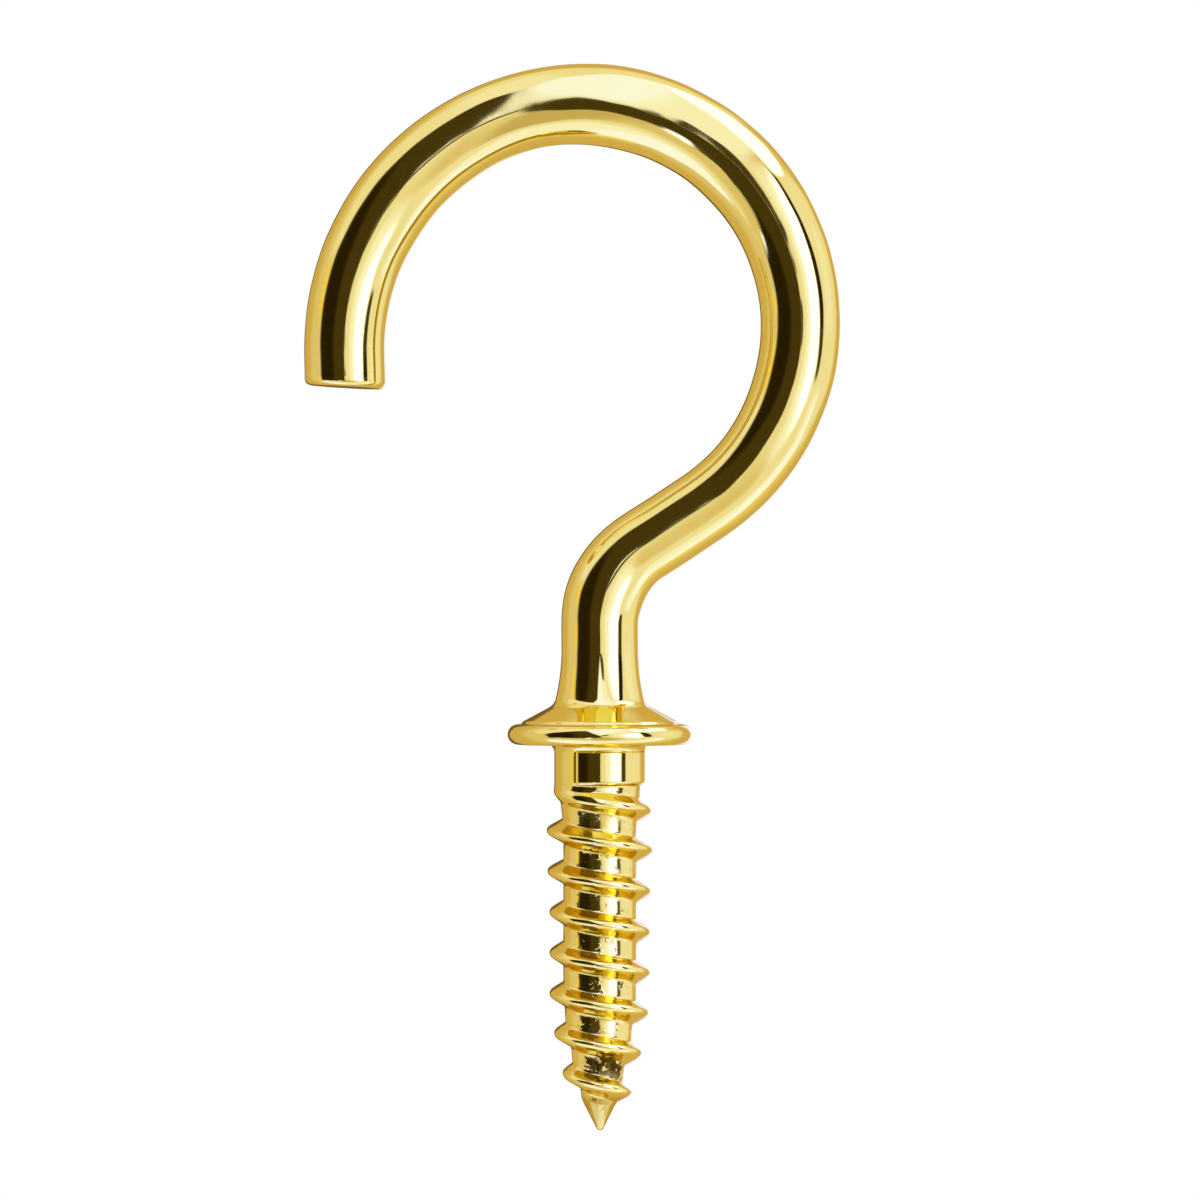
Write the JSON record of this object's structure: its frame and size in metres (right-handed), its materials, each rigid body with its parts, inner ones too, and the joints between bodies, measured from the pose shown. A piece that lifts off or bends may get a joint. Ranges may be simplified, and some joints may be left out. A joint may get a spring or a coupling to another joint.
{
  "type": "cup hook",
  "caption": "Small brass cup hook: a question-mark bow on a collared neck, with a pointed wood screw thread below the collar.",
  "frame": {"origin": "middle of the collar's flat underside, which seats on the surface that the hook is screwed into", "axes": "+Z along the screw's axis, away from the surface and towards the bow; the bow lies in the XZ plane and its open end is on the -X side"},
  "size_m": [0.0096, 0.0032, 0.0191],
  "materials": {
    "brass": "bright polished plating, with rolling marks on the thread's core"
  },
  "bodies": {
    "root": {"cup_hook": "brass"}
  },
  "joints": []
}
